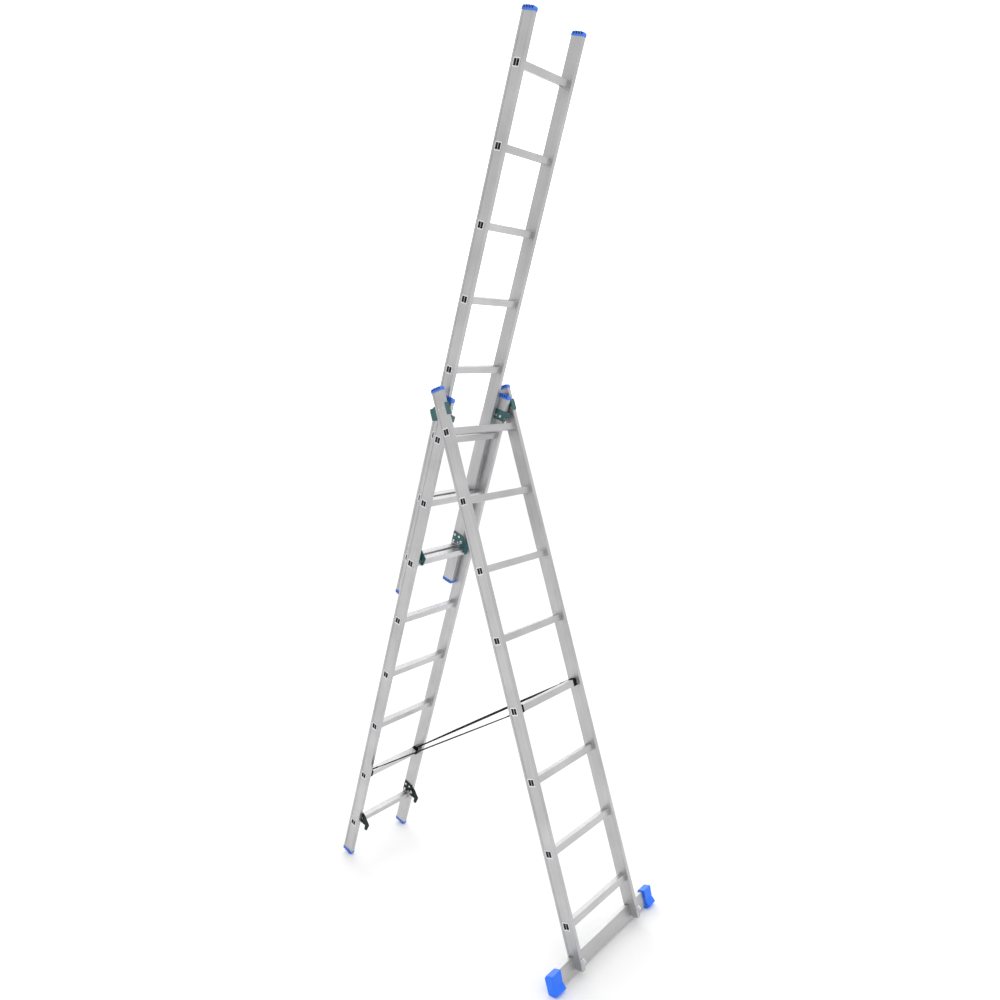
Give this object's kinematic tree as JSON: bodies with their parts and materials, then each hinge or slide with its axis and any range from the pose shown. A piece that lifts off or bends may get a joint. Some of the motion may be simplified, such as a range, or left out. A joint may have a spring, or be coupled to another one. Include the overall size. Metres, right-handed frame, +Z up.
{
  "type": "combination ladder",
  "caption": "Three-section aluminium combination ladder standing as a trestle, its top section run out above the rear leg, with stabiliser bar and restraint straps.",
  "frame": {"origin": "on the floor in the middle of the ladder's footprint", "axes": "+X across the rungs, -Y toward the stabiliser, +Z up"},
  "size_m": [0.728, 1.4294, 3.5504],
  "materials": {
    "aluminium": "satin",
    "cap_plastic": "satin",
    "foot_plastic": "satin",
    "coated_steel": "satin",
    "zinc_steel": "satin",
    "webbing": "matte"
  },
  "bodies": {
    "front_section": {"front_guide_bracket_left": "coated_steel", "front_guide_bracket_right": "coated_steel", "front_rivets": "zinc_steel", "front_rung_1": "aluminium", "front_rung_2": "aluminium", "front_rung_3": "aluminium", "front_rung_4": "aluminium", "front_rung_5": "aluminium", "front_rung_6": "aluminium", "front_rung_7": "aluminium", "front_rung_8": "aluminium", "front_stile_left": "aluminium", "front_stile_right": "aluminium", "front_top_cap_left": "cap_plastic", "front_top_cap_right": "cap_plastic", "hinge_pins": "zinc_steel", "stabiliser_bar": "aluminium", "stabiliser_bolts": "zinc_steel", "stabiliser_foot_left": "foot_plastic", "stabiliser_foot_right": "foot_plastic", "stabiliser_nuts": "zinc_steel", "strap_left": "webbing", "strap_right": "webbing"},
    "rear_section": {"rear_foot_cap_left": "cap_plastic", "rear_foot_cap_right": "cap_plastic", "rear_guide_bracket_left": "coated_steel", "rear_guide_bracket_right": "coated_steel", "rear_hook_left": "coated_steel", "rear_hook_right": "coated_steel", "rear_rivets": "zinc_steel", "rear_rung_1": "aluminium", "rear_rung_2": "aluminium", "rear_rung_3": "aluminium", "rear_rung_4": "aluminium", "rear_rung_5": "aluminium", "rear_rung_6": "aluminium", "rear_rung_7": "aluminium", "rear_rung_8": "aluminium", "rear_stile_left": "aluminium", "rear_stile_right": "aluminium", "rear_top_cap_left": "cap_plastic", "rear_top_cap_right": "cap_plastic"},
    "upper_section": {"upper_foot_cap_left": "cap_plastic", "upper_foot_cap_right": "cap_plastic", "upper_hook_left": "coated_steel", "upper_hook_right": "coated_steel", "upper_rivets": "zinc_steel", "upper_rung_1": "aluminium", "upper_rung_2": "aluminium", "upper_rung_3": "aluminium", "upper_rung_4": "aluminium", "upper_rung_5": "aluminium", "upper_rung_6": "aluminium", "upper_rung_7": "aluminium", "upper_rung_8": "aluminium", "upper_stile_left": "aluminium", "upper_stile_right": "aluminium", "upper_top_cap_left": "cap_plastic", "upper_top_cap_right": "cap_plastic"}
  },
  "joints": [
    {"name": "trestle_fold", "type": "hinge", "parent": "front_section", "child": "rear_section", "pos_m": [0, -0.05158, 2.09777], "axis": [1, 0, 0], "range_deg": [-33, 0], "deforming": ["strap_left", "strap_right"]},
    {"name": "upper_slide", "type": "slide", "parent": "rear_section", "child": "upper_section", "axis": [0, -0.325, 0.9457], "range_m": [0, 0.195]}
  ]
}
